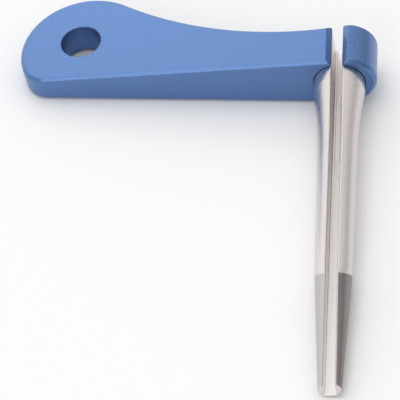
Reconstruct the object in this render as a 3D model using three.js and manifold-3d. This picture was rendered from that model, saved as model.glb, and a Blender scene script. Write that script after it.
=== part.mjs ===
// Bladed spoke holder: a flat lever, thick and round-nosed at its head, with a slotted steel pin pressed through
// the head. A flat spoke drops into the slot, and the lever keeps it from twisting.
// Millimetres. The tool is drawn with its pin along Y, tip towards -Y, its lever along -X and its slot open to +Z.
import * as THREE from 'three';
import { mergeVertices } from 'three/addons/utils/BufferGeometryUtils.js';
import Module from 'manifold-3d';

const wasm = await Module();
wasm.setup();

// Head of the lever
const HEAD_WIDTH = 7.0; // along the pin
const HEAD_THICKNESS = 9.4; // top face to underside
const NOSE_OFFSET = 1.0; // from the pin's axis out to the centre of the round nose
const LIP_CHAMFER = 0.85; // along both lips of the slot in the head

// Lever and tail
const NECK_REACH = 5.5; // from the pin's axis to where the back edge starts to curve away
const TAIL_REACH = 38.6; // from the pin's axis to the centre of the round tail
const TAIL_SETBACK = 3.2; // of that centre behind the middle of the head
const TAIL_RADIUS = 9.7;
const TAIL_THICKNESS = 4.0; // at the far end, the underside rises to this from the head
const FRONT_SETBACK = 0.6; // of the front edge, at the tail's centre
const CORNER_RADIUS = 3.0; // between the front edge and the tail
const EDGE_RADIUS = 0.6; // all outer edges

// Hanging hole in the tail
const HANG_HOLE_DIAMETER = 6.2;
const HANG_HOLE_REACH = 39.1;
const HANG_HOLE_SETBACK = 4.35;
const HANG_HOLE_CHAMFER = 0.2;

// Pin, lengths counted from the front face of the head
const PIN_REACH = 55.2; // to the tip
const PIN_RECESS = 0.3; // of its other end, from the back face of the head
const SHANK_DIAMETER = 7.1;
const FIT_GAP = 0.25; // between the shank and its bore
const FLARE_START = 2.0; // the shank necks down from here
const FLARE_END = 14.5; // to here
const BODY_DIAMETER = 5.6; // where the flare ends
const POINT_DIAMETER = 5.1; // where the pointed tip starts
const POINT_LENGTH = 18.7;
const TIP_DIAMETER = 3.4;
const TIP_CHAMFER = 0.2;

// Slot for the spoke, through the head and all along the pin
const SLOT_WIDTH = 1.6;
const SLOT_FLOOR = 0.8; // below the pin's axis
const RELIEF_WIDTH = 1.0; // shallow cutter run in the slot's floor
const RELIEF_DEPTH = 0.35;
const RELIEF_REACH = 17.5; // of its round end, from the front face of the head

// Facets
const ROUND_STEPS = 64; // around the pin, the bore and the nose
const TAIL_STEPS = 32;
const BACK_STEPS = 14;
const CORNER_STEPS = 7;
const EDGE_STEPS = 3;
const FLARE_STEPS = 10;
const HOLE_STEPS = 48;
const SPARE = 2; // how far a cutter runs past what it cuts

const headHalf = HEAD_WIDTH / 2;
const topZ = HEAD_THICKNESS / 2;
const tail = new THREE.Vector2(-TAIL_REACH, TAIL_SETBACK);
const tipY = -headHalf - PIN_REACH;
const pinBackY = headHalf - PIN_RECESS;
const undersideSlope = (HEAD_THICKNESS - TAIL_THICKNESS) / (NOSE_OFFSET + TAIL_REACH + TAIL_RADIUS);
const undersideZ = (x) => -topZ + undersideSlope * (NOSE_OFFSET - x);

// Front edge of the lever: a straight line that leans back towards the tail
const frontAngle = Math.atan(FRONT_SETBACK / (NOSE_OFFSET + TAIL_REACH));
const frontHead = new THREE.Vector2(NOSE_OFFSET, -headHalf);
const frontInward = new THREE.Vector2(Math.sin(frontAngle), Math.cos(frontAngle));
const frontTailward = new THREE.Vector2(-Math.cos(frontAngle), Math.sin(frontAngle));

// Corner circle: inside the tail's circle and the front edge, touching both
const cornerStart = frontHead.clone().addScaledVector(frontInward, CORNER_RADIUS);
const cornerOffset = cornerStart.clone().sub(tail);
const cornerInset = TAIL_RADIUS - CORNER_RADIUS;
const cornerAlong = -cornerOffset.dot(frontTailward);
const cornerSpread = Math.sqrt(cornerAlong ** 2 - cornerOffset.lengthSq() + cornerInset ** 2);
const corner = cornerStart.clone().addScaledVector(frontTailward, cornerAlong + cornerSpread);

// A closed mesh becomes a solid that can be joined and cut
function solid(geometry) {
  geometry.deleteAttribute('normal');
  geometry.deleteAttribute('uv');
  const welded = mergeVertices(geometry);
  const corners = welded.index.array;
  const triangles = [];
  for (let i = 0; i < corners.length; i += 3) {
    const [a, b, c] = corners.slice(i, i + 3);
    if (a !== b && b !== c && c !== a) triangles.push(a, b, c);
  }
  const vertProperties = new Float32Array(welded.attributes.position.array);
  const triVerts = new Uint32Array(triangles);
  return new wasm.Manifold(new wasm.Mesh({ numProp: 3, vertProperties, triVerts }));
}

function mesh(name, body, material) {
  const { vertProperties, triVerts } = body.getMesh();
  const geometry = new THREE.BufferGeometry();
  geometry.setAttribute('position', new THREE.BufferAttribute(new Float32Array(vertProperties), 3));
  geometry.setIndex(new THREE.BufferAttribute(new Uint32Array(triVerts), 1));
  geometry.computeVertexNormals();
  const result = new THREE.Mesh(geometry, material);
  result.name = name;
  return result;
}

function arc(centre, radius, from, to, steps) {
  return new THREE.ArcCurve(centre.x, centre.y, radius, from, to, to < from).getPoints(steps);
}

// Turned shape about Y, from its half profile of [radius, y] pairs
function turned(profile) {
  const points = profile.map(([radius, y]) => new THREE.Vector2(radius, y));
  return solid(new THREE.LatheGeometry(points, ROUND_STEPS));
}

function box(width, depth, height, x, y, z) {
  return solid(new THREE.BoxGeometry(width, depth, height).translate(x, y, z));
}

// Prism that runs along Y, from its outline of [x, z] pairs
function ridge(outline, depth) {
  const shape = new THREE.Shape(outline.map(([x, z]) => new THREE.Vector2(x, z)));
  const geometry = new THREE.ExtrudeGeometry(shape, { depth, bevelEnabled: false });
  return solid(geometry.rotateX(Math.PI / 2).translate(0, depth / 2, 0));
}

// Plan of the lever: straight neck, hollow back curve into the round tail, round corner, straight front
function leverPlan() {
  const endX = NOSE_OFFSET + SPARE;
  const drop = headHalf - TAIL_SETBACK;
  const run = TAIL_REACH - NECK_REACH;
  const backRadius = (run ** 2 + drop ** 2 - TAIL_RADIUS ** 2) / (2 * (TAIL_RADIUS - drop));
  const back = new THREE.Vector2(-NECK_REACH, headHalf + backRadius);
  const toBack = back.clone().sub(tail).angle();
  const toCorner = corner.clone().sub(tail).angle();
  const frontNormal = 1.5 * Math.PI - frontAngle;
  return new THREE.Shape([
    new THREE.Vector2(endX, -headHalf),
    new THREE.Vector2(endX, headHalf),
    ...arc(back, backRadius, 1.5 * Math.PI, toBack + Math.PI, BACK_STEPS),
    ...arc(tail, TAIL_RADIUS, toBack, toCorner, TAIL_STEPS).slice(1),
    ...arc(corner, CORNER_RADIUS, toCorner, frontNormal, CORNER_STEPS).slice(1),
    frontHead,
  ]);
}

// Lever: the plan with rounded edges, its underside rising from the head to the thin tail
function lever() {
  const geometry = new THREE.ExtrudeGeometry(leverPlan(), {
    depth: HEAD_THICKNESS - 2 * EDGE_RADIUS,
    bevelThickness: EDGE_RADIUS,
    bevelSize: EDGE_RADIUS,
    bevelOffset: -EDGE_RADIUS,
    bevelSegments: EDGE_STEPS,
  });
  geometry.translate(0, 0, EDGE_RADIUS - topZ);
  const position = geometry.attributes.position;
  for (let i = 0; i < position.count; i += 1) {
    const rise = undersideZ(position.getX(i)) + topZ;
    if (position.getZ(i) < 0) position.setZ(i, position.getZ(i) + rise);
  }
  const trim = 2 * SPARE;
  const beyondNose = box(trim, HEAD_WIDTH + trim, HEAD_THICKNESS + trim, NOSE_OFFSET + trim / 2, 0, 0);
  return solid(geometry).subtract(beyondNose);
}

// Round nose of the head: a drum across the lever, with the same rounded edges
function nose() {
  const rimRadius = topZ - EDGE_RADIUS;
  const rim = new THREE.Vector2(rimRadius, headHalf - EDGE_RADIUS);
  const back = arc(rim, EDGE_RADIUS, 0, Math.PI / 2, EDGE_STEPS).map((p) => [p.x, p.y]);
  const front = back.map(([radius, y]) => [radius, -y]).reverse();
  const drum = turned([[0, -headHalf], ...front, ...back, [0, headHalf]]);
  return drum.translate([NOSE_OFFSET, 0, 0]);
}

// Hanging hole with a small chamfer at each mouth. The lower mouth leans with the underside.
function hangHole() {
  const radius = HANG_HOLE_DIAMETER / 2;
  const bottomZ = undersideZ(-HANG_HOLE_REACH);
  const shapes = [
    [radius, radius, bottomZ - SPARE, topZ + SPARE, 0],
    [radius + HANG_HOLE_CHAMFER + SPARE, radius, topZ - HANG_HOLE_CHAMFER, topZ + SPARE, 0],
    [radius, radius + HANG_HOLE_CHAMFER + SPARE, bottomZ - SPARE, bottomZ + HANG_HOLE_CHAMFER, undersideSlope],
  ];
  const cutters = shapes.map(([topRadius, lowRadius, low, high, lean]) => {
    const geometry = new THREE.CylinderGeometry(topRadius, lowRadius, high - low, HOLE_STEPS);
    geometry.rotateX(Math.PI / 2).translate(0, 0, (low + high) / 2 - bottomZ);
    geometry.rotateY(Math.atan(lean)).translate(-HANG_HOLE_REACH, HANG_HOLE_SETBACK, bottomZ);
    return solid(geometry);
  });
  return cutters[0].add(cutters[1]).add(cutters[2]);
}

// Slot in the head, from the bore up through the top face, with chamfered lips
function headSlot() {
  const half = SLOT_WIDTH / 2;
  const mouth = half + LIP_CHAMFER + SPARE;
  const outline = [
    [-half, 0],
    [half, 0],
    [half, topZ - LIP_CHAMFER],
    [mouth, topZ + SPARE],
    [-mouth, topZ + SPARE],
    [-half, topZ - LIP_CHAMFER],
  ];
  return ridge(outline, HEAD_WIDTH + 2 * SPARE);
}

function leverHandle() {
  const boreRadius = SHANK_DIAMETER / 2 + FIT_GAP;
  const boreEnd = headHalf + SPARE;
  const bore = turned([[0, -boreEnd], [boreRadius, -boreEnd], [boreRadius, boreEnd], [0, boreEnd]]);
  return lever().add(nose()).subtract(bore).subtract(headSlot()).subtract(hangHole());
}

// Pin: straight shank, flare that necks down, slender body and long point with a flat tip
function pinBlank() {
  const shank = SHANK_DIAMETER / 2;
  const body = BODY_DIAMETER / 2;
  const tip = TIP_DIAMETER / 2;
  const flare = [];
  for (let i = 0; i <= FLARE_STEPS; i += 1) {
    const share = i / FLARE_STEPS;
    const radius = body + (shank - body) * (1 - Math.cos(Math.PI * share)) / 2;
    flare.push([radius, -headHalf - FLARE_END + (FLARE_END - FLARE_START) * share]);
  }
  return turned([
    [0, tipY],
    [tip - TIP_CHAMFER, tipY],
    [tip, tipY + TIP_CHAMFER],
    [POINT_DIAMETER / 2, tipY + POINT_LENGTH],
    ...flare,
    [shank, pinBackY],
    [0, pinBackY],
  ]);
}

// Run of a small round cutter in the slot's floor, open at the back and round at its far end
function floorRelief() {
  const half = RELIEF_WIDTH / 2;
  const end = new THREE.Vector2(0, -headHalf - RELIEF_REACH + half);
  const shape = new THREE.Shape([
    ...arc(end, half, Math.PI, 2 * Math.PI, 2 * CORNER_STEPS),
    new THREE.Vector2(half, headHalf + SPARE),
    new THREE.Vector2(-half, headHalf + SPARE),
  ]);
  const depth = RELIEF_DEPTH + SPARE;
  const geometry = new THREE.ExtrudeGeometry(shape, { depth, bevelEnabled: false });
  return solid(geometry.translate(0, 0, -SLOT_FLOOR - RELIEF_DEPTH));
}

function slottedPin() {
  const length = PIN_REACH + HEAD_WIDTH + 2 * SPARE;
  const height = SHANK_DIAMETER / 2 + SLOT_FLOOR + SPARE;
  const slot = box(SLOT_WIDTH, length, height, 0, (tipY + headHalf) / 2, height / 2 - SLOT_FLOOR);
  return pinBlank().subtract(slot).subtract(floorRelief());
}

// Laid on a bench, the tool rests on the lower front edge of its lever and on the tip of its pin
function restingTurn() {
  const front = corner.clone().addScaledVector(frontInward, -CORNER_RADIUS);
  const edgeHead = new THREE.Vector3(frontHead.x, frontHead.y, undersideZ(frontHead.x));
  const edgeTail = new THREE.Vector3(front.x, front.y, undersideZ(front.x));
  const tipFoot = new THREE.Vector3(0, tipY, -TIP_DIAMETER / 2);
  const alongEdge = edgeHead.clone().sub(edgeTail).normalize();
  const up = alongEdge.clone().cross(edgeHead.clone().sub(tipFoot)).normalize();
  const back = up.clone().cross(alongEdge);
  const axes = new THREE.Matrix4().makeBasis(alongEdge, back, up);
  return new THREE.Quaternion().setFromRotationMatrix(axes).invert();
}

const blueAnodised = new THREE.MeshStandardMaterial({ color: 0x4a76bd, metalness: 0.7, roughness: 0.45 });
const groundSteel = new THREE.MeshStandardMaterial({ color: 0xcfc8c4, metalness: 1.0, roughness: 0.22 });

const tool = new THREE.Group();
tool.add(mesh('lever_handle', leverHandle(), blueAnodised));
tool.add(mesh('slotted_pin', slottedPin(), groundSteel));
tool.quaternion.copy(restingTurn());

// The origin is under the middle of the tool as it lies
tool.updateMatrixWorld(true);
const extent = new THREE.Box3().setFromObject(tool, true);
const middle = extent.getCenter(new THREE.Vector3());
tool.position.set(-middle.x, -middle.y, -extent.min.z);

export default tool;
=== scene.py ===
import math

import bmesh
import bpy
import numpy as np
from mathutils import Matrix, Vector


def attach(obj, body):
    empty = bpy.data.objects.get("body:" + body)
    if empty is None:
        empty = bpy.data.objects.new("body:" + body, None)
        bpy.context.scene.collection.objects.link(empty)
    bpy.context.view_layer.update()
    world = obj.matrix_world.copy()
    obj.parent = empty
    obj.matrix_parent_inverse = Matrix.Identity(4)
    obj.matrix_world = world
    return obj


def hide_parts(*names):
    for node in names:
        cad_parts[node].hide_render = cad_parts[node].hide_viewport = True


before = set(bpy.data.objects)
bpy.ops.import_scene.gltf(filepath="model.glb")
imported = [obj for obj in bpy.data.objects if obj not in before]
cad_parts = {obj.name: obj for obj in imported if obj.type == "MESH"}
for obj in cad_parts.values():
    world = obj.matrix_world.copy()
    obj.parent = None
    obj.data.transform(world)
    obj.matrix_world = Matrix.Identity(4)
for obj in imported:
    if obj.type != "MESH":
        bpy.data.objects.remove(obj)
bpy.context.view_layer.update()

MM = 0.001

# Head of the lever
HEAD_WIDTH = 7.75  # along the pin
HEAD_THICKNESS = 9.33  # top face to underside
NOSE_OFFSET = 0.85  # from the pin's axis out to the centre of the round nose
LIP_CHAMFER = 0.8  # along both lips of the slot in the head
LIP_RIDGE = 0.15  # radius of the ridges of that chamfer

# Lever and tail
NECK_REACH = 5.8  # from the pin's axis to where the back edge is drawn in most
NECK_WAIST = 0.65  # how far it is drawn in there
TAIL_REACH = 37.83  # from the pin's axis to the centre of the round tail
TAIL_SETBACK = 2.21  # of that centre behind the middle of the head
TAIL_RADIUS = 10.08
TAIL_THICKNESS = 3.93  # at the far end, the underside rises to this from the head
CORNER_RADIUS = 3.37  # between the front edge and the tail
EDGE_CHAMFER = 0.5  # on all outer edges
RIDGE_RADIUS = 0.3  # of the ridges of that chamfer

# Hanging hole
HANG_HOLE_DIAMETER = 6.0
HANG_HOLE_REACH = 38.76  # of its centre, from the pin's axis
HANG_HOLE_SETBACK = 3.49  # of its centre, behind the middle of the head
HANG_HOLE_ROUND = 0.2  # radius of its mouths

# Pin, lengths counted from the front face of the head
PIN_REACH = 54.84  # to the tip
PIN_RECESS = 0.3  # of its other end, from the back of the head
SHANK_DIAMETER = 7.6
BORE_GAP = 0.06  # between the shank and its bore
BORE_ROUND = 0.1  # radius of the bore's mouths
FLARE_START = 2.0  # the shank necks down from here
FLARE_END = 14.5  # to here
BODY_DIAMETER = 5.81  # where the flare ends
POINT_DIAMETER = 5.28  # where the point starts
POINT_LENGTH = 18.7
TIP_DIAMETER = 3.25
TIP_CHAMFER = 0.2
POINT_BREAK = 0.05  # half the length of the bend where the point starts
BACK_CHAMFER = 0.15

# Slot
SLOT_WIDTH = 1.6
SLOT_FLOOR = 0.8  # below the pin's axis
LIP_ROUND = 0.2  # radius along the lips of the pin's slot
FLOOR_ROUND = 0.12  # radius in the corners of its floor
RELIEF_WIDTH = 1.0  # shallow cutter run in the slot's floor
RELIEF_DEPTH = 0.25
RELIEF_REACH = 17.5  # of its round end, from the front face of the head
RELIEF_RAMP = 0.5  # length in which it would deepen by its full depth, from that end
RELIEF_LIP = 0.25  # share of its depth that it has at that end

# Fineness of the curves
ARC_STEP = math.radians(2.5)
RIDGE_STEPS = 4
BACK_STEPS = 48
NOSE_STEPS = 72
ROUND_STEPS = 128
FLARE_STEPS = 32
RELIEF_STEPS = 8
LIP_STEPS = 8
MOUTH_ANGLES = np.radians((0, 16, 32, 48, 64, 78))

# Cutters, and the edges that they leave
SPARE = 2.0  # how far a cutter runs past what it cuts
MOUTH_RISE = 0.2  # share of that by which a mouth's cutter rises
LEVER_EDGE_BREAK = 0.07
PIN_EDGE_BREAK = 0.04
SHARP_ANGLE = math.radians(35)

# Camera, in the tool's own axes
CAMERA_AZIMUTH = 14.467
CAMERA_ELEVATION = 49.785
CAMERA_ROLL = 14.263
CAMERA_DISTANCE = 348.27
CAMERA_TARGET = (-20.304, -22.0, -3.331)
FOCAL_PIXELS = 2400
PICTURE_PIXELS = 400
SENSOR = 36.0

# Finishes and painted light: colours in linear light, and grain in millimetres
BLUE_DARK = (0.098, 0.186, 0.402, 1)
BLUE_LIGHT = (0.127, 0.241, 0.517, 1)
BLAST_GRAIN = 0.26
STEEL_DARK = (0.72, 0.67, 0.66, 1)
STEEL_LIGHT = (0.76, 0.71, 0.70, 1)
STREAK_WIDTH = 0.11
STREAK_LENGTH = 17
# Painted dark reflection: the pin's point is made darker on its right side and a little on its left, in place
# of a dark surround that it would reflect
POINT_PAINTED_REFLECTION = (0.27, 0.247, 0.24, 1)
# Painted light: the slot's floor and walls are made lighter towards the tip, in place of the shade in the
# slot lifting there
SLOT_PAINTED_LIGHT_COLOUR = (0.95, 0.92, 0.91, 1)
REFLECTION_LEAN = 0.4  # slope of the border of the point's painted dark reflection
REFLECTION_SHIFT = 0.17  # of that border behind the start of the point
REFLECTION_LEFT = 0.4  # share of the painted dark reflection on the point's left side
REFLECTION_BLUR = 0.05  # half the width of that border
LIP_BLUR = 0.08  # width of its border along the slot's lips
RIM_BLUR = 0.1  # width of its border at the tip
SLOT_SPARE = 0.01  # how far the slot's painted light runs past its walls
SLOT_BLUR = 0.02  # width of its border there
FLOOR_SPARE = 0.05  # how far it runs below the floor of the cutter run, and the width of its border there
NOISE_LOW = 0.3  # range of a noise that is spread over colours or values
NOISE_HIGH = 0.7
FLOOR_COLOUR = (0.97, 0.97, 0.97, 1)
FLOOR_REACH = 3.0  # in metres

# Surround, with its ranges as parts of a unit direction in the tool's axes
BRIGHT = 0.98  # behind
DIM = 0.62  # in front
BACK_RANGE = (-0.35, 0.3)
LEFT_SHARE = 1.15
RIGHT_SHARE = 0.8
SIDE_RANGE = (-0.7, 0.7)
LOW_RIGHT_SHARE = 0.6
LOW_RANGE = (0.45, 0.15)
RIGHT_RANGE = (0.3, 0.65)

# Lamps, in metres and watts, each in its direction from the tool along the frame's axes
LAMPS = {
    "key": {"towards": (-0.15, -0.1, 1.0), "away": 1.1, "size": 1.0, "power": 2.45},
    "sheen": {"towards": (-0.27, 0.8, 0.6), "away": 0.9, "size": 0.3, "power": 0.37},
    "front": {"towards": (-0.23, -0.8, 0.56), "away": 0.9, "size": 0.25, "power": 0.65},
}

HEAD_HALF = HEAD_WIDTH / 2
TOP = HEAD_THICKNESS / 2
TIP_Y = -HEAD_HALF - PIN_REACH
RELIEF_END_Y = -HEAD_HALF - RELIEF_REACH
UNDERSIDE_SLOPE = (HEAD_THICKNESS - TAIL_THICKNESS) / (NOSE_OFFSET + TAIL_REACH + TAIL_RADIUS)
TAIL = np.array((-TAIL_REACH, TAIL_SETBACK))

# Back edge: a hollow arc from the tail, through the neck and out to the full width of the head
NECK_Y = HEAD_HALF - NECK_WAIST
NECK_RUN = TAIL_REACH - NECK_REACH
NECK_DROP = NECK_Y - TAIL_SETBACK
BACK_RADIUS = (NECK_RUN**2 + NECK_DROP**2 - TAIL_RADIUS**2) / (2 * (TAIL_RADIUS - NECK_DROP))
BACK = np.array((-NECK_REACH, NECK_Y + BACK_RADIUS))
BACK_END = BACK[0] + math.sqrt(BACK_RADIUS**2 - (BACK_RADIUS - NECK_WAIST) ** 2)

# Corner circle: inside the tail's circle and the front edge, touching both
CORNER_Y = CORNER_RADIUS - HEAD_HALF
CORNER_SPREAD = math.sqrt((TAIL_RADIUS - CORNER_RADIUS) ** 2 - (TAIL_SETBACK - CORNER_Y) ** 2)
CORNER = np.array((-TAIL_REACH - CORNER_SPREAD, CORNER_Y))


def underside(x):
    return -TOP + UNDERSIDE_SLOPE * (NOSE_OFFSET - x)


def back_edge(x):
    if x >= BACK_END:
        return HEAD_HALF
    return BACK[1] - math.sqrt(BACK_RADIUS**2 - (x - BACK[0]) ** 2)


PIN_BACK_Y = back_edge(0) - PIN_RECESS


def unit(angle):
    return np.array((math.cos(angle), math.sin(angle)))


def angle_of(v):
    return math.atan2(v[1], v[0]) % (2 * math.pi)


def arc_angles(start, end):
    steps = max(2, math.ceil(abs(end - start) / ARC_STEP))
    return np.linspace(start, end, steps + 1)


# Plan of the lever, front to back by way of the tail, as pairs of a point and its outward normal
def lever_outline():
    to_back = angle_of(BACK - TAIL)
    to_corner = angle_of(CORNER - TAIL)
    to_nose = 1.5 * math.pi + math.asin((NOSE_OFFSET - BACK[0]) / BACK_RADIUS)
    outline = [(np.array((NOSE_OFFSET, -HEAD_HALF)), np.array((0.0, -1.0)))]
    for angle in arc_angles(1.5 * math.pi, to_corner):
        outline.append((CORNER + CORNER_RADIUS * unit(angle), unit(angle)))
    for angle in arc_angles(to_corner, to_back)[1:]:
        outline.append((TAIL + TAIL_RADIUS * unit(angle), unit(angle)))
    for angle in np.linspace(to_back + math.pi, to_nose, BACK_STEPS)[1:-1]:
        outline.append((BACK + BACK_RADIUS * unit(angle), -unit(angle)))
    outline.append((np.array((NOSE_OFFSET, back_edge(NOSE_OFFSET))), np.array((0.0, 1.0))))
    return outline


def edge_profile():
    """Inset and depth from a face to its side: a chamfer whose two ridges are rounded."""
    tangent = RIDGE_RADIUS * math.tan(math.pi / 8)
    far = EDGE_CHAMFER + tangent
    points = []
    for turn, inset, depth in ((0, far, RIDGE_RADIUS), (math.pi / 4, RIDGE_RADIUS, far)):
        for k in range(RIDGE_STEPS + 1):
            angle = turn + math.pi / 4 * k / RIDGE_STEPS
            points.append((inset - RIDGE_RADIUS * math.sin(angle), depth - RIDGE_RADIUS * math.cos(angle)))
    return points


class Shell:
    """Collects points and faces, and welds points that fall together."""

    def __init__(self):
        self.points = []
        self.faces = []
        self.known = {}

    def point(self, p):
        key = tuple(round(float(v), 5) for v in p)
        if key not in self.known:
            self.known[key] = len(self.points)
            self.points.append(key)
        return self.known[key]

    def face(self, corners):
        welded = [self.point(p) for p in corners]
        loop = [a for a, b in zip(welded, welded[1:] + welded[:1]) if a != b]
        if len(loop) > 2:
            self.faces.append(loop)

    def strip(self, one, other):
        for i in range(len(one) - 1):
            self.face((one[i], one[i + 1], other[i + 1], other[i]))

    def mesh(self, name):
        data = bpy.data.meshes.new(name)
        data.from_pydata([Vector(p) * MM for p in self.points], [], self.faces)
        data.validate()
        return data


def outward(data):
    """Turns a closed mesh's faces outwards."""
    work = bmesh.new()
    work.from_mesh(data)
    bmesh.ops.recalc_face_normals(work, faces=work.faces)
    work.to_mesh(data)
    work.free()
    return data


# Lever with its round nose, before the holes and the slot are cut
def lever_blank():
    shell = Shell()
    outline = lever_outline()
    profile = edge_profile()

    def ring(inset, height):
        points = [p - inset * n for p, n in outline]
        return [(x, y, height(x)) for x, y in points]

    top = [ring(i, lambda x, d=d: TOP - d) for i, d in profile]
    low = [ring(i, lambda x, d=d: underside(x) + d) for i, d in reversed(profile)]
    rings = top + low
    for one, other in zip(rings, rings[1:]):
        shell.strip(one, other)
    shell.face(rings[0])
    shell.face(rings[-1])

    def nose_ring(side, inset, depth):
        radius = TOP - depth
        points = []
        for turn in np.linspace(0, math.pi, NOSE_STEPS + 1):
            x = NOSE_OFFSET + radius * math.sin(turn)
            y = inset - HEAD_HALF if side < 0 else back_edge(x) - inset
            points.append((x, y, radius * math.cos(turn)))
        return points

    front = [nose_ring(-1, i, d) for i, d in reversed(profile)]
    back = [nose_ring(1, i, d) for i, d in profile]
    arcs = front + back
    for one, other in zip(arcs, arcs[1:]):
        shell.strip(one, other)
    shell.face(arcs[0])
    half = NOSE_STEPS // 2 + 1
    shell.strip(arcs[-1][:half], arcs[-1][::-1][:half])
    return outward(shell.mesh("lever_blank"))


def turned_mesh(name, profile, steps, place):
    """Closed turned shape from pairs of radius and height, with place giving each point from its angle."""
    shell = Shell()
    turns = [2 * math.pi * k / steps for k in range(steps)] + [0.0]
    rings = [[place(radius, height, a) for a in turns] for radius, height in profile]
    for one, other in zip(rings, rings[1:]):
        shell.strip(one, other)
    shell.face(rings[0][:-1])
    shell.face(rings[-1][:-1])
    return outward(shell.mesh(name))


def mouth_profile(radius, face, rounding, side):
    """Profile of a cutter at a hole's mouth: it opens in a round until it is nearly level with the face."""
    points = []
    for angle in MOUTH_ANGLES:
        opened = radius + rounding * (1 - math.cos(angle))
        points.append((opened, face - side * rounding * (1 - math.sin(angle))))
    last_radius, last_height = points[-1]
    last_radius += SPARE * math.sin(MOUTH_ANGLES[-1])
    last_height += side * SPARE * MOUTH_RISE
    points.append((last_radius, last_height))
    return points


def bore_cutter():
    radius = SHANK_DIAMETER / 2 + BORE_GAP
    front = mouth_profile(radius, -HEAD_HALF, BORE_ROUND, -1)
    back = mouth_profile(radius, back_edge(0), BORE_ROUND, 1)

    def place(r, h, a):
        x = r * math.sin(a)
        shift = back_edge(x) - back_edge(0) if h > 0 else 0.0
        return (x, h + shift, r * math.cos(a))

    return turned_mesh("bore_cutter", front[::-1] + back, ROUND_STEPS, place)


def hang_hole_cutter():
    radius = HANG_HOLE_DIAMETER / 2
    bottom = underside(-HANG_HOLE_REACH)
    upper = mouth_profile(radius, TOP, HANG_HOLE_ROUND, 1)
    lower = mouth_profile(radius, bottom, HANG_HOLE_ROUND, -1)
    middle = (TOP + bottom) / 2

    def place(r, h, a):
        lean = -UNDERSIDE_SLOPE * r * math.cos(a) if h < middle else 0.0
        return (-HANG_HOLE_REACH + r * math.cos(a), HANG_HOLE_SETBACK + r * math.sin(a), h + lean)

    return turned_mesh("hang_hole_cutter", lower[::-1] + upper, ROUND_STEPS, place)


def head_slot_cutter():
    """Slot with chamfered lips, whose ridges are slightly rounded, as a prism through the head."""
    half = SLOT_WIDTH / 2
    tangent = LIP_RIDGE * math.tan(math.pi / 8)
    side = [(half, 0.0)]
    for angle in np.radians((0, 15, 30, 45)):
        across = half + LIP_RIDGE * (1 - math.cos(angle))
        side.append((across, TOP - LIP_CHAMFER - tangent + LIP_RIDGE * math.sin(angle)))
    for angle in np.radians((45, 33, 21, 10)):
        across = half + LIP_CHAMFER + tangent - LIP_RIDGE * math.sin(angle)
        side.append((across, TOP - LIP_RIDGE * (1 - math.cos(angle))))
    across, height = side[-1]
    side.append((across + SPARE * math.cos(angle), height + SPARE * math.sin(angle)))
    section = side + [(-x, z) for x, z in reversed(side)]
    shell = Shell()
    reach = HEAD_HALF + SPARE
    front = [(x, -reach, z) for x, z in section]
    back = [(x, reach, z) for x, z in section]
    shell.strip(front + front[:1], back + back[:1])
    shell.face(front)
    shell.face(back)
    return outward(shell.mesh("head_slot_cutter"))


def cut(data, *cutters):
    """The mesh with the cutters taken out of it."""
    blank = bpy.data.objects.new("blank", data)
    bpy.context.scene.collection.objects.link(blank)
    tools = []
    for cutter in cutters:
        tool = bpy.data.objects.new(cutter.name, cutter)
        bpy.context.scene.collection.objects.link(tool)
        tools.append(tool)
        modifier = blank.modifiers.new(cutter.name, "BOOLEAN")
        modifier.operation = "DIFFERENCE"
        modifier.solver = "EXACT"
        modifier.object = tool
    graph = bpy.context.evaluated_depsgraph_get()
    result = bpy.data.meshes.new_from_object(blank.evaluated_get(graph))
    for used in (blank, *tools):
        bpy.data.objects.remove(used)
    return result


# Pin, as sections along its length
def pin_stations():
    """Pairs of y and radius from the tip to the back end."""
    shank = SHANK_DIAMETER / 2
    body = BODY_DIAMETER / 2
    tip = TIP_DIAMETER / 2
    ring = POINT_DIAMETER / 2
    bend = TIP_Y + POINT_LENGTH
    stations = [(TIP_Y, tip - TIP_CHAMFER)]
    stations.append((TIP_Y + 0.3 * TIP_CHAMFER, tip - 0.45 * TIP_CHAMFER))
    stations.append((TIP_Y + TIP_CHAMFER, tip))
    stations.append((bend - POINT_BREAK, ring - 0.1 * POINT_BREAK))
    stations.append((bend + POINT_BREAK, ring))
    for share in np.linspace(0, 1, FLARE_STEPS + 1):
        y = -HEAD_HALF - FLARE_END + (FLARE_END - FLARE_START) * share
        stations.append((y, body + (shank - body) * share**2))
    stations.append((PIN_BACK_Y - BACK_CHAMFER, shank))
    stations.append((PIN_BACK_Y, shank - BACK_CHAMFER))
    return stations


def relief_half(y):
    """Half width of the cutter run in the slot's floor, which ends in a half round."""
    half = RELIEF_WIDTH / 2
    centre = RELIEF_END_Y + half
    if y >= centre:
        return half
    return math.sqrt(max(0.0, half**2 - (y - centre) ** 2))


def pin_section(y, radius):
    """Outline of the pin across its axis, as x and z, from the middle of the slot's floor and round."""
    half = SLOT_WIDTH / 2
    lip = np.array((half + LIP_ROUND, 0.0))
    lip[1] = math.sqrt((radius - LIP_ROUND) ** 2 - lip[0] ** 2)
    run = relief_half(y)
    share = (y - RELIEF_END_Y) / RELIEF_RAMP
    depth = RELIEF_DEPTH * min(1.0, RELIEF_LIP + share) if share > 0 else 0.0
    side = [(run, -SLOT_FLOOR - depth), (run, -SLOT_FLOOR)]
    for angle in np.radians((-90, -60, -30, 0)):
        centre = np.array((half - FLOOR_ROUND, -SLOT_FLOOR + FLOOR_ROUND))
        side.append(tuple(centre + FLOOR_ROUND * unit(angle)))
    lip_angle = angle_of(lip)
    for angle in np.linspace(math.pi, lip_angle, LIP_STEPS + 1):
        side.append(tuple(lip + LIP_ROUND * unit(angle)))
    for angle in np.linspace(lip_angle, -math.pi / 2, ROUND_STEPS // 2)[1:]:
        side.append(tuple(radius * unit(angle)))
    return side + [(-x, z) for x, z in reversed(side[:-1])]


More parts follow.
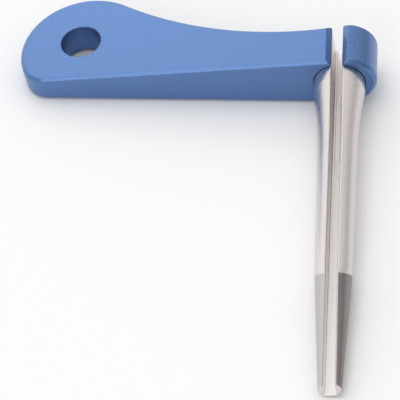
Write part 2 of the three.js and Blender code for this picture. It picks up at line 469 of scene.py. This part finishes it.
def pin_mesh():
    shell = Shell()
    stations = pin_stations()
    turns = np.linspace(0, math.pi / 2, RELIEF_STEPS + 1)
    ends = [RELIEF_END_Y + RELIEF_WIDTH / 2 * (1 - math.cos(a)) for a in turns]
    known = np.array(stations)
    for y in ends:
        stations.append((y, float(np.interp(y, known[:, 0], known[:, 1]))))
    stations.sort()
    sections = [[(x, y, z) for x, z in pin_section(y, radius)] for y, radius in stations]
    for one, other in zip(sections, sections[1:]):
        shell.strip(one + one[:1], other + other[:1])
    shell.face(sections[0])
    shell.face(sections[-1])
    return outward(shell.mesh("slotted_pin"))


# How the tool lies on the floor
def resting_turn():
    edge_head = Vector((NOSE_OFFSET, -HEAD_HALF, underside(NOSE_OFFSET)))
    edge_tail = Vector((CORNER[0], -HEAD_HALF, underside(CORNER[0])))
    tip_foot = Vector((0, TIP_Y, -TIP_DIAMETER / 2))
    along = (edge_head - edge_tail).normalized()
    up = along.cross(edge_head - tip_foot).normalized()
    across = up.cross(along)
    return Matrix((along, across, up)).to_4x4()


def resting_place(meshes):
    """Turn and shift that lay the tool on the floor with the frame's origin under its middle."""
    turn = resting_turn()
    corners = np.array([turn @ v.co for data in meshes for v in data.vertices])
    low, high = corners.min(0), corners.max(0)
    shift = Vector((-(low[0] + high[0]) / 2, -(low[1] + high[1]) / 2, -low[2]))
    return Matrix.Translation(shift) @ turn


def add_piece(name, data, place, node, material):
    piece = bpy.data.objects.new(name, data)
    bpy.context.scene.collection.objects.link(piece)
    data.transform(place)
    data.materials.clear()
    data.materials.append(material)
    for polygon in data.polygons:
        polygon.use_smooth = True
    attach(piece, "root")
    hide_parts(node)
    return piece


def soften(piece, width):
    """Breaks the sharp edges left by the cuts and keeps flat faces flat in the shading."""
    bevel = piece.modifiers.new("edge_break", "BEVEL")
    bevel.width = width * MM
    bevel.segments = 2
    bevel.limit_method = "ANGLE"
    bevel.angle_limit = SHARP_ANGLE
    bevel.use_clamp_overlap = True
    weighted = piece.modifiers.new("flat_faces", "WEIGHTED_NORMAL")
    weighted.mode = "FACE_AREA"
    weighted.weight = 100


# Materials
def node_material(name):
    material = bpy.data.materials.new(name)
    material.use_nodes = True
    tree = material.node_tree
    return material, tree, tree.nodes["Principled BSDF"]


def node(tree, kind, **values):
    """New node with its input values set, underscores standing for the spaces in their names."""
    made = tree.nodes.new(kind)
    for name, value in values.items():
        made.inputs[name.replace("_", " ")].default_value = value
    return made


def link(tree, source, output, target, entry):
    tree.links.new(source.outputs[output], target.inputs[entry])


def tool_axes(tree, place, size):
    """Mapping from the laid tool's coordinates back to its own axes, in units of the given sizes."""
    mapping = node(tree, "ShaderNodeMapping", Location=place.translation, Rotation=place.to_euler())
    mapping.inputs["Scale"].default_value = size
    mapping.vector_type = "TEXTURE"
    coords = tree.nodes.new("ShaderNodeTexCoord")
    link(tree, coords, "Object", mapping, "Vector")
    return mapping


def step(tree, source, output, low, high, start=0.0, end=1.0):
    """Goes from the start to the end value while what comes in goes from low to high."""
    made = node(tree, "ShaderNodeMapRange", From_Min=low, From_Max=high, To_Min=start, To_Max=end)
    link(tree, source, output, made, "Value")
    return made


def combine(tree, operation, one, other):
    """Combines the first outputs of two nodes."""
    made = tree.nodes.new("ShaderNodeMath")
    made.operation = operation
    link(tree, one, 0, made, 0)
    link(tree, other, 0, made, 1)
    return made


def tint(tree, source, dark, light):
    """Spreads a noise over two colours."""
    made = tree.nodes.new("ShaderNodeValToRGB")
    first, second = made.color_ramp.elements
    first.position = NOISE_LOW
    first.color = dark
    second.position = NOISE_HIGH
    second.color = light
    link(tree, source, "Fac", made, "Fac")
    return made


def spread(tree, source, low, high):
    """Spreads a noise over a range of values."""
    return step(tree, source, "Fac", NOISE_LOW, NOISE_HIGH, low, high)


def relief(tree, source, strength, depth, shader):
    """Fine relief from a noise."""
    bump = node(tree, "ShaderNodeBump", Strength=strength, Distance=depth * MM)
    link(tree, source, "Fac", bump, "Height")
    link(tree, bump, "Normal", shader, "Normal")


def blue_anodised(place):
    material, tree, shader = node_material("blue_anodised")
    shader.inputs["Metallic"].default_value = 0.85
    shader.inputs["Coat Weight"].default_value = 0.25
    shader.inputs["Coat Roughness"].default_value = 0.35
    size = BLAST_GRAIN * MM
    blast = tool_axes(tree, place, (size, size, size))
    grain = node(tree, "ShaderNodeTexNoise", Scale=1.0, Detail=2.0, Roughness=0.6)
    link(tree, blast, "Vector", grain, "Vector")
    link(tree, tint(tree, grain, BLUE_DARK, BLUE_LIGHT), "Color", shader, "Base Color")
    link(tree, spread(tree, grain, 0.32, 0.40), "Result", shader, "Roughness")
    relief(tree, grain, 0.4, 0.02, shader)
    return material


def blend(tree, factor, source, output, colour):
    """Blends from a colour that comes in to a fixed one."""
    made = tree.nodes.new("ShaderNodeMix")
    made.data_type = "RGBA"
    made.inputs[7].default_value = colour
    link(tree, factor, "Value", made, 0)
    link(tree, source, output, made, 6)
    return made


def point_painted_reflection(tree, axes, split):
    """Share of the painted dark reflection: one on the right of the pin's point, less on its left, zero
    elsewhere.
    """
    lean = tree.nodes.new("ShaderNodeVectorMath")
    lean.operation = "DOT_PRODUCT"
    lean.inputs[1].default_value = (0, 1, REFLECTION_LEAN)
    link(tree, axes, "Vector", lean, 0)
    border = TIP_Y + POINT_LENGTH + REFLECTION_SHIFT
    rim = TIP_Y + TIP_CHAMFER
    lip = SLOT_WIDTH / 2 + LIP_ROUND
    behind_rim = step(tree, split, "Y", rim - RIM_BLUR, rim)
    before_border = step(tree, lean, "Value", border + REFLECTION_BLUR, border - REFLECTION_BLUR)
    right = step(tree, split, "X", lip - LIP_BLUR, lip)
    left = step(tree, split, "X", LIP_BLUR - lip, -lip, 0.0, REFLECTION_LEFT)
    along = combine(tree, "MULTIPLY", behind_rim, before_border)
    across = combine(tree, "ADD", right, left)
    return combine(tree, "MULTIPLY", along, across)


def slot_painted_light(tree, split):
    """Share of the painted light on the slot's floor and walls: zero at the head, rising to one at the tip.
    """
    wall = SLOT_WIDTH / 2 + SLOT_SPARE
    low = -SLOT_FLOOR - RELIEF_DEPTH - FLOOR_SPARE
    wide = tree.nodes.new("ShaderNodeMath")
    wide.operation = "ABSOLUTE"
    link(tree, split, "X", wide, 0)
    across = step(tree, wide, "Value", wall + SLOT_BLUR, wall)
    above = step(tree, split, "Z", low - FLOOR_SPARE, low)
    inside = combine(tree, "MULTIPLY", across, above)
    along = step(tree, split, "Y", -HEAD_HALF, TIP_Y)
    return combine(tree, "MULTIPLY", inside, along)


# Ground steel with its streaks, plus a painted dark reflection on the point and painted light in the slot
def ground_steel(place):
    material, tree, shader = node_material("ground_steel")
    shader.inputs["Metallic"].default_value = 1.0
    shader.inputs["Anisotropic"].default_value = 0.9
    grinding = tool_axes(tree, place, (STREAK_WIDTH * MM, STREAK_LENGTH * MM, STREAK_WIDTH * MM))
    streaks = node(tree, "ShaderNodeTexNoise", Scale=1.0, Detail=3.0)
    link(tree, grinding, "Vector", streaks, "Vector")
    plain = tint(tree, streaks, STEEL_DARK, STEEL_LIGHT)
    axes = tool_axes(tree, place, (MM, MM, MM))
    split = tree.nodes.new("ShaderNodeSeparateXYZ")
    link(tree, axes, "Vector", split, "Vector")
    # Painted dark reflection on the pin's point, mixed into the steel's colour
    dark = blend(tree, point_painted_reflection(tree, axes, split), plain, "Color", POINT_PAINTED_REFLECTION)
    # Painted light in the slot, lighter towards the tip
    light = blend(tree, slot_painted_light(tree, split), dark, 2, SLOT_PAINTED_LIGHT_COLOUR)
    link(tree, light, 2, shader, "Base Color")
    link(tree, spread(tree, streaks, 0.23, 0.29), "Result", shader, "Roughness")
    coords = tree.nodes.new("ShaderNodeTexCoord")
    around = tree.nodes.new("ShaderNodeVectorMath")
    around.operation = "CROSS_PRODUCT"
    around.inputs[1].default_value = place.to_3x3() @ Vector((0, 1, 0))
    link(tree, coords, "Normal", around, 0)
    link(tree, around, "Vector", shader, "Tangent")
    relief(tree, streaks, 0.06, 0.01, shader)
    return material


# Stage, light and camera
def add_floor():
    data = bpy.data.meshes.new("floor")
    corners = [(x * FLOOR_REACH, y * FLOOR_REACH, 0) for x, y in ((-1, -1), (1, -1), (1, 1), (-1, 1))]
    data.from_pydata(corners, [], [(0, 1, 2, 3)])
    floor = bpy.data.objects.new("floor", data)
    bpy.context.scene.collection.objects.link(floor)
    material, tree, shader = node_material("pale_floor")
    shader.inputs["Base Color"].default_value = FLOOR_COLOUR
    shader.inputs["Roughness"].default_value = 0.9
    shader.inputs["Specular IOR Level"].default_value = 0.0
    data.materials.append(material)


def add_world(turn):
    """Surround that is brightest behind the tool and to its left, and darkest low on the right."""
    world = bpy.data.worlds.new("studio")
    bpy.context.scene.world = world
    world.use_nodes = True
    tree = world.node_tree
    coords = tree.nodes.new("ShaderNodeTexCoord")
    axes = node(tree, "ShaderNodeMapping", Rotation=turn.to_euler())
    axes.vector_type = "TEXTURE"
    link(tree, coords, "Generated", axes, "Vector")
    split = tree.nodes.new("ShaderNodeSeparateXYZ")
    link(tree, axes, "Vector", split, "Vector")
    shade = step(tree, split, "Y", *BACK_RANGE, DIM, BRIGHT)
    shade.interpolation_type = "SMOOTHSTEP"
    balance = step(tree, split, "X", *SIDE_RANGE, LEFT_SHARE, RIGHT_SHARE)
    low = step(tree, split, "Z", *LOW_RANGE)
    right = step(tree, split, "X", *RIGHT_RANGE)
    low_right = combine(tree, "MULTIPLY", low, right)
    corner = step(tree, low_right, "Value", 0.0, 1.0, 1.0, LOW_RIGHT_SHARE)
    wide = combine(tree, "MULTIPLY", shade, balance)
    strength = combine(tree, "MULTIPLY", wide, corner)
    link(tree, strength, "Value", tree.nodes["Background"], "Strength")
    tree.nodes["Background"].inputs["Color"].default_value = (1, 1, 1, 1)


def add_lamp(name, towards, away, size, power):
    light = bpy.data.lights.new(name, "AREA")
    light.shape = "DISK"
    light.size = size
    light.energy = power
    lamp = bpy.data.objects.new(name, light)
    bpy.context.scene.collection.objects.link(lamp)
    lamp.location = away * Vector(towards).normalized()
    lamp.rotation_mode = "QUATERNION"
    lamp.rotation_quaternion = (-lamp.location).to_track_quat("-Z", "Y")


def add_camera(place):
    a, e, r = (math.radians(v) for v in (CAMERA_AZIMUTH, CAMERA_ELEVATION, CAMERA_ROLL))
    toward = Vector((math.sin(a) * math.cos(e), -math.cos(a) * math.cos(e), math.sin(e)))
    right = Vector((math.cos(a), math.sin(a), 0))
    up = toward.cross(right)
    rolled_right = math.cos(r) * right - math.sin(r) * up
    rolled_up = math.sin(r) * right + math.cos(r) * up
    eye = (Vector(CAMERA_TARGET) + CAMERA_DISTANCE * toward) * MM
    turn = Matrix((rolled_right, rolled_up, toward)).transposed().to_4x4()
    data = bpy.data.cameras.new("camera")
    data.sensor_width = SENSOR
    data.lens = SENSOR * FOCAL_PIXELS / PICTURE_PIXELS
    data.clip_start = 0.01
    camera = bpy.data.objects.new("camera", data)
    bpy.context.scene.collection.objects.link(camera)
    camera.matrix_world = place @ Matrix.Translation(eye) @ turn
    bpy.context.scene.camera = camera


lever_data = cut(lever_blank(), bore_cutter(), head_slot_cutter(), hang_hole_cutter())
pin_data = pin_mesh()
place = resting_place((lever_data, pin_data))
blue = blue_anodised(place)
steel = ground_steel(place)
lever = add_piece("lever_handle_fine", lever_data, place, "lever_handle", blue)
pin = add_piece("slotted_pin_fine", pin_data, place, "slotted_pin", steel)
soften(lever, LEVER_EDGE_BREAK)
soften(pin, PIN_EDGE_BREAK)

add_floor()
add_world(place)
for name, lamp in LAMPS.items():
    add_lamp(name, **lamp)
add_camera(place)
bpy.context.scene.view_settings.view_transform = "Standard"
